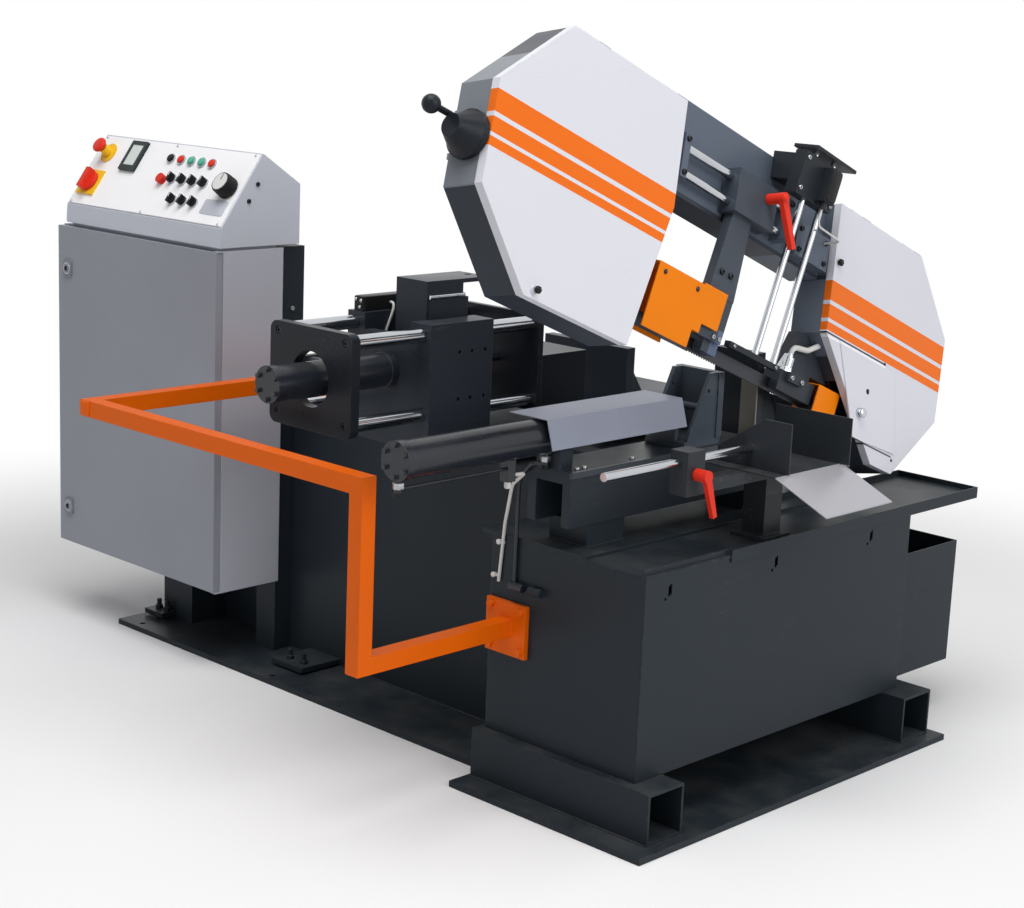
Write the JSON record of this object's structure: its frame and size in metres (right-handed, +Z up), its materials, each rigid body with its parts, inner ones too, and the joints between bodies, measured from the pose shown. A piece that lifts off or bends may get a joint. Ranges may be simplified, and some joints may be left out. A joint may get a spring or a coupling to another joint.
{
  "type": "automatic band saw",
  "caption": "Automatic horizontal metal band saw with pivoting bow, hydraulic main vise and feed vise, coolant tank, discharge chute, control cabinet and guard rail",
  "frame": {"origin": "on the floor plane under the fixed jaw face, in the cutting plane of the blade", "axes": "+X along the blade towards the drive end, +Y towards the infeed side, +Z up"},
  "size_m": [1.8761, 2.423, 1.7615],
  "materials": {
    "dark_paint": "satin grey-black machine paint",
    "black_paint": "semi-gloss black paint",
    "light_grey_paint": "light grey satin paint",
    "grey_paint": "mid grey satin paint",
    "orange_paint": "orange gloss paint",
    "panel_white": "white control panel",
    "chrome": "hard chrome",
    "steel": "ground steel",
    "cast_iron": "machined cast iron",
    "red_plastic": "red plastic",
    "green_plastic": "pale green plastic",
    "black_plastic": "black plastic",
    "white_cable": "white cable sheath"
  },
  "bodies": {
    "machine": {"base_frame": "dark_paint", "coolant_tank": "dark_paint", "drip_tray": "dark_paint", "machine_body": "dark_paint", "guard_rail": "orange_paint", "cabinet_body": "grey_paint", "console": "grey_paint", "console_panel": "panel_white", "vise_bed": "dark_paint", "vise_cylinder": "black_paint", "fixed_jaw": "steel", "chute": "dark_paint", "pivot_bracket": "dark_paint", "feed_bed": "steel", "sensor_cables": "white_cable"},
    "chip_pan": {"chip_box": "dark_paint"},
    "cabinet_leaf": {"cabinet_door": "grey_paint"},
    "speed_dial": {"speed_knob": "black_plastic"},
    "stop_button": {"emergency_stop": "red_plastic"},
    "main_dial": {"main_switch": "red_plastic"},
    "bow": {"bow_frame": "dark_paint", "gear_motor": "dark_paint", "saw_blade": "steel", "guide_rods": "chrome", "fixed_guide": "dark_paint", "blade_guard_right": "orange_paint", "feeler_head": "dark_paint"},
    "idler_lid": {"idler_cover": "light_grey_paint"},
    "drive_lid": {"drive_cover": "light_grey_paint"},
    "tension_slide": {"idler_carriage": "cast_iron"},
    "idler": {"idler_wheel": "cast_iron"},
    "driver": {"drive_wheel": "cast_iron"},
    "tension_grip": {"tension_handle": "black_plastic"},
    "sliding_guide": {"guide_arm": "dark_paint", "blade_guard_left": "orange_paint"},
    "guide_lock": {"arm_lever": "red_plastic"},
    "feeler": {"height_feeler": "steel"},
    "vise_jaw": {"moving_jaw": "dark_paint", "piston_rod": "chrome", "jaw_roof": "dark_paint"},
    "length_stop": {"chute_guide": "dark_paint"},
    "length_lock": {"clamp_lever": "red_plastic"},
    "feeder": {"feed_carriage": "dark_paint", "feed_vise_cylinder": "black_paint"},
    "feed_clamp": {"feed_jaw_plates": "dark_paint", "feed_jaw_rods": "chrome"},
    "lift_tube": {"lift_barrel": "black_paint"},
    "lift_ram": {"lift_rod": "chrome"},
    "button_1": {"push_button_1": "black_plastic"},
    "button_2": {"push_button_2": "red_plastic"},
    "button_3": {"push_button_3": "green_plastic"},
    "button_4": {"push_button_4": "green_plastic"},
    "button_5": {"push_button_5": "red_plastic"},
    "dial_1": {"selector_1": "black_plastic"},
    "dial_2": {"selector_2": "black_plastic"},
    "dial_3": {"selector_3": "black_plastic"},
    "dial_4": {"selector_4": "black_plastic"},
    "dial_5": {"selector_5": "black_plastic"},
    "dial_6": {"selector_6": "black_plastic"},
    "dial_7": {"selector_7": "black_plastic"}
  },
  "joints": [
    {"name": "button_1_press", "type": "slide", "parent": "machine", "child": "button_1", "axis": [0.8146, 0, -0.58], "range_m": [0, 0.004], "stiffness_N_per_m": 600},
    {"name": "button_2_press", "type": "slide", "parent": "machine", "child": "button_2", "axis": [0.8146, 0, -0.58], "range_m": [0, 0.004], "stiffness_N_per_m": 600},
    {"name": "button_3_press", "type": "slide", "parent": "machine", "child": "button_3", "axis": [0.8146, 0, -0.58], "range_m": [0, 0.004], "stiffness_N_per_m": 600},
    {"name": "button_4_press", "type": "slide", "parent": "machine", "child": "button_4", "axis": [0.8146, 0, -0.58], "range_m": [0, 0.004], "stiffness_N_per_m": 600},
    {"name": "button_5_press", "type": "slide", "parent": "machine", "child": "button_5", "axis": [0.8146, 0, -0.58], "range_m": [0, 0.004], "stiffness_N_per_m": 600},
    {"name": "dial_1_turn", "type": "hinge", "parent": "machine", "child": "dial_1", "pos_m": [-0.58026, 1.612, 1.30431], "axis": [-0.8146, 0, 0.58], "range_deg": [-45, 45]},
    {"name": "dial_2_turn", "type": "hinge", "parent": "machine", "child": "dial_2", "pos_m": [-0.58026, 1.565, 1.30431], "axis": [-0.8146, 0, 0.58], "range_deg": [-45, 45]},
    {"name": "dial_3_turn", "type": "hinge", "parent": "machine", "child": "dial_3", "pos_m": [-0.58026, 1.519, 1.30431], "axis": [-0.8146, 0, 0.58], "range_deg": [-45, 45]},
    {"name": "dial_4_turn", "type": "hinge", "parent": "machine", "child": "dial_4", "pos_m": [-0.58026, 1.472, 1.30431], "axis": [-0.8146, 0, 0.58], "range_deg": [-45, 45]},
    {"name": "dial_5_turn", "type": "hinge", "parent": "machine", "child": "dial_5", "pos_m": [-0.61622, 1.563, 1.2538], "axis": [-0.8146, 0, 0.58], "range_deg": [-45, 45]},
    {"name": "dial_6_turn", "type": "hinge", "parent": "machine", "child": "dial_6", "pos_m": [-0.61622, 1.516, 1.2538], "axis": [-0.8146, 0, 0.58], "range_deg": [-45, 45]},
    {"name": "dial_7_turn", "type": "hinge", "parent": "machine", "child": "dial_7", "pos_m": [-0.61622, 1.469, 1.2538], "axis": [-0.8146, 0, 0.58], "range_deg": [-45, 45]},
    {"name": "speed_turn", "type": "hinge", "parent": "machine", "child": "speed_dial", "pos_m": [-0.58374, 1.359, 1.29942], "axis": [-0.8146, 0, 0.58], "range_deg": [-135, 135]},
    {"name": "stop_press", "type": "slide", "parent": "machine", "child": "stop_button", "axis": [0.8146, 0, -0.58], "range_m": [0, 0.005], "stiffness_N_per_m": 1500},
    {"name": "main_turn", "type": "hinge", "parent": "machine", "child": "main_dial", "pos_m": [-0.60694, 1.957, 1.26683], "axis": [-0.8146, 0, 0.58], "range_deg": [0, 90]},
    {"name": "chip_pull", "type": "slide", "parent": "machine", "child": "chip_pan", "axis": [1, 0, 0], "range_m": [0, 0.28]},
    {"name": "cabinet_swing", "type": "hinge", "parent": "machine", "child": "cabinet_leaf", "pos_m": [-0.651, 1.319, 0.6825], "axis": [0, 0, 1], "range_deg": [0, 90]},
    {"name": "bow_swing", "type": "hinge", "parent": "machine", "child": "bow", "pos_m": [0.321, 0.1, 0.792], "axis": [0, -1, 0], "range_deg": [0, 22]},
    {"name": "idler_lid_swing", "type": "hinge", "parent": "bow", "child": "idler_lid", "pos_m": [-0.5563, 0.03297, 1.6905], "axis": [-0.9272, 0, 0.3746], "range_deg": [0, 95]},
    {"name": "drive_lid_swing", "type": "hinge", "parent": "bow", "child": "drive_lid", "pos_m": [0.50997, 0.03297, 1.25971], "axis": [-0.9272, 0, 0.3746], "range_deg": [0, 95]},
    {"name": "tension_turn", "type": "hinge", "parent": "bow", "child": "tension_grip", "pos_m": [-1.04182, 0.01158, 1.54323], "axis": [0.9272, 0, -0.3746], "range_deg": [0, 720]},
    {"name": "tension_travel", "type": "slide", "parent": "bow", "child": "tension_slide", "axis": [0.9272, 0, -0.3746], "range_m": [0, 0.006]},
    {"name": "drive_spin", "type": "hinge", "parent": "bow", "child": "driver", "pos_m": [0.41571, 0.03569, 0.97037], "axis": [0.0683, -0.9833, 0.169], "continuous": true},
    {"name": "idler_spin", "type": "hinge", "parent": "tension_slide", "child": "idler", "pos_m": [-0.7581, 0.03569, 1.44462], "axis": [0.0683, -0.9833, 0.169], "continuous": true},
    {"name": "guide_travel", "type": "slide", "parent": "bow", "child": "sliding_guide", "axis": [0.9272, 0, -0.3746], "range_m": [0, 0.025]},
    {"name": "guide_lock_turn", "type": "hinge", "parent": "sliding_guide", "child": "guide_lock", "pos_m": [-0.06698, -0.04097, 1.38802], "axis": [0.0683, -0.9833, 0.169], "range_deg": [-90, 0]},
    {"name": "feeler_travel", "type": "slide", "parent": "bow", "child": "feeler", "axis": [0.3746, 0, 0.9272], "range_m": [0, 0.06]},
    {"name": "vise_travel", "type": "slide", "parent": "machine", "child": "vise_jaw", "axis": [1, 0, 0], "range_m": [-0.13, 0.115]},
    {"name": "length_travel", "type": "slide", "parent": "machine", "child": "length_stop", "axis": [1, 0, 0], "range_m": [-0.04, 0.18]},
    {"name": "length_lock_turn", "type": "hinge", "parent": "machine", "child": "length_lock", "pos_m": [-0.465, -0.18, 0.806], "axis": [0, -1, 0], "range_deg": [-45, 60]},
    {"name": "feed_travel", "type": "slide", "parent": "machine", "child": "feeder", "axis": [0, 1, 0], "range_m": [-0.24, 0.43]},
    {"name": "feed_clamp_travel", "type": "slide", "parent": "feeder", "child": "feed_clamp", "axis": [1, 0, 0], "range_m": [-0.1, 0.12]},
    {"name": "lift_swing", "type": "hinge", "parent": "machine", "child": "lift_tube", "pos_m": [0.157, 0.146, 0.655], "axis": [0, -1, 0], "range_deg": [0, 4.33]},
    {"name": "lift_stroke", "type": "slide", "parent": "lift_tube", "child": "lift_ram", "axis": [0.0318, 0, 0.9995], "range_m": [-0.06365, 0]}
  ],
  "couplings": [
    {"joint": "idler_spin", "follows": "drive_spin", "ratio": 1},
    {"joint": "tension_turn", "follows": "tension_travel", "rad_per_m": 2094.4},
    {"joint": "lift_swing", "follows": "bow_swing", "ratio": 0.19674},
    {"joint": "lift_stroke", "follows": "bow_swing", "m_per_rad": -0.16578}
  ]
}
